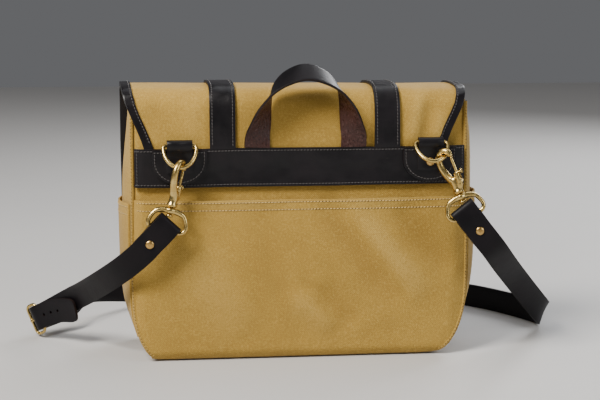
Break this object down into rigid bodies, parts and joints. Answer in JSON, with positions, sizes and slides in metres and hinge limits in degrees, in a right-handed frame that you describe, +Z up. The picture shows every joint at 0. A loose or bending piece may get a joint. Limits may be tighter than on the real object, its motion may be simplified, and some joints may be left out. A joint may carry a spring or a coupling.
{
  "type": "canvas messenger bag with leather trim",
  "caption": "Soft canvas shoulder bag with leather-bound flap, back slip pocket, carrying handle and a buckled leather strap clipped to D-rings by swivel snap hooks.",
  "frame": {"origin": "centre of the bag's flat base, on the surface it stands on", "axes": "+X along the bag's width, +Y from the back panel towards the front, +Z up"},
  "size_m": [0.5856, 0.3638, 0.3072],
  "materials": {
    "canvas": "heavy cotton twill",
    "leather": "smooth, semi-gloss",
    "brass": "polished"
  },
  "bodies": {
    "bag": {"back_panel": "canvas", "front_panel": "canvas", "gusset": "canvas", "back_pocket": "canvas", "side_pocket_left": "canvas", "side_pocket_right": "canvas", "flap": "canvas", "flap_binding": "leather", "back_band": "leather", "handle": "leather", "closing_strap_left": "leather", "closing_strap_right": "leather", "chape_left": "leather", "chape_right": "leather", "ring_tab_left": "leather", "ring_tab_right": "leather", "shoulder_strap_short": "leather", "shoulder_strap_long": "leather", "d_ring_left": "brass", "d_ring_right": "brass", "swivel_eye_left": "brass", "swivel_eye_right": "brass", "tab_rivet_left": "brass", "tab_rivet_right": "brass", "strap_rivet_left": "brass", "strap_rivet_right": "brass", "strap_buckle": "brass", "closing_buckle_left": "brass", "closing_buckle_right": "brass"},
    "hook_left": {"hook_left": "brass"},
    "bolt_left": {"bolt_left": "brass"},
    "hook_right": {"hook_right": "brass"},
    "bolt_right": {"bolt_right": "brass"}
  },
  "joints": [
    {"name": "hook_swivel_left", "type": "hinge", "parent": "bag", "child": "hook_left", "pos_m": [-0.13092, -0.08042, 0.16439], "axis": [0.25, 0.1, 0.9631], "range_deg": [-5, 55]},
    {"name": "bolt_slide_left", "type": "slide", "parent": "hook_left", "child": "bolt_left", "axis": [-0.25, -0.1, -0.9631], "range_m": [0, 0.007], "stiffness_N_per_m": 120, "springref_m": -0.003},
    {"name": "hook_swivel_right", "type": "hinge", "parent": "bag", "child": "hook_right", "pos_m": [0.16476, -0.08565, 0.17404], "axis": [-0.3397, 0.1998, 0.9191], "range_deg": [-35, 15]},
    {"name": "bolt_slide_right", "type": "slide", "parent": "hook_right", "child": "bolt_right", "axis": [0.3397, -0.1998, -0.9191], "range_m": [0, 0.007], "stiffness_N_per_m": 120, "springref_m": -0.003}
  ]
}
